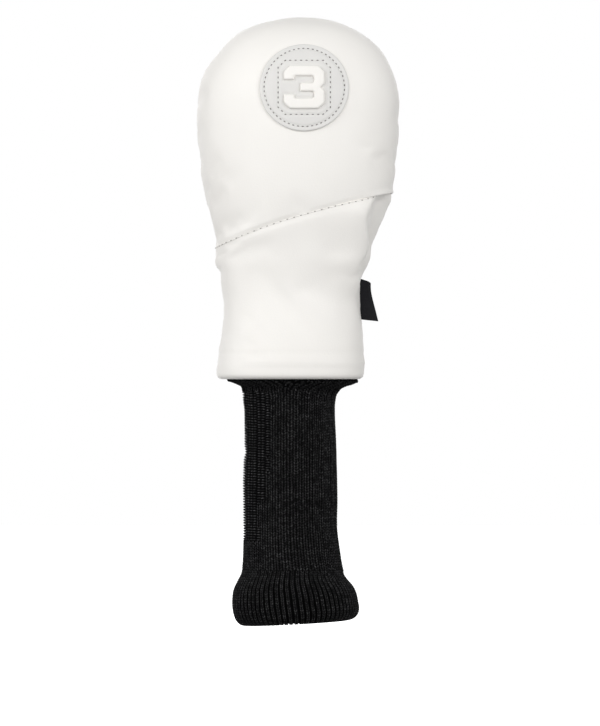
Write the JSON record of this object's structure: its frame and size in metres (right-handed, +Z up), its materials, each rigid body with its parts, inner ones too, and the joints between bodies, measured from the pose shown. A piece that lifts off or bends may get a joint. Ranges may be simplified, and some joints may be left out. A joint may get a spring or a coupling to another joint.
{
  "type": "golf club head cover",
  "caption": "Padded leatherette head cover with a slanted seam, a round patch, a side label and a long knit sleeve ending in a ribbed cuff.",
  "frame": {"origin": "centre of the hem plane of the padded head, where the club's neck passes", "axes": "+Z up towards the closed crown, the club leaves along -Z; -Y is the front with the round patch; +X is the heel side with the label"},
  "size_m": [0.093, 0.0653, 0.2798],
  "materials": {
    "white_leatherette": "soft satin grain",
    "grey_leatherette": "soft satin grain",
    "foam": "open foam",
    "fleece": "brushed pile",
    "elastic": "woven elastic",
    "black_woven": "tight weave",
    "black_knit": "rib knit"
  },
  "bodies": {
    "head": {"crown_front": "white_leatherette", "crown_back": "white_leatherette", "neck_front": "white_leatherette", "neck_back": "white_leatherette", "crown_foam_front": "foam", "crown_foam_back": "foam", "neck_foam_front": "foam", "neck_foam_back": "foam", "lining_front": "fleece", "lining_back": "fleece", "waist_elastic": "elastic", "round_patch": "grey_leatherette"},
    "label": {"side_label": "black_woven"},
    "collar": {"knit_collar": "black_knit"},
    "sleeve": {"knit_sleeve": "black_knit", "rib_cuff": "black_knit", "cuff_turn": "black_knit"}
  },
  "joints": [
    {"name": "label_flip", "type": "hinge", "parent": "head", "child": "label", "pos_m": [0.03328, 0, 0.0275], "axis": [-0.016, 0, 0.9999], "range_deg": [-70, 70]},
    {"name": "sleeve_nod", "type": "hinge", "parent": "head", "child": "collar", "pos_m": [0, 0, -0.005], "axis": [1, 0, 0], "range_deg": [-18, 18], "deforming": ["knit_collar"]},
    {"name": "sleeve_sway", "type": "hinge", "parent": "collar", "child": "sleeve", "pos_m": [0, 0, -0.005], "axis": [0, 1, 0], "range_deg": [-18, 18], "deforming": ["knit_collar"]}
  ]
}
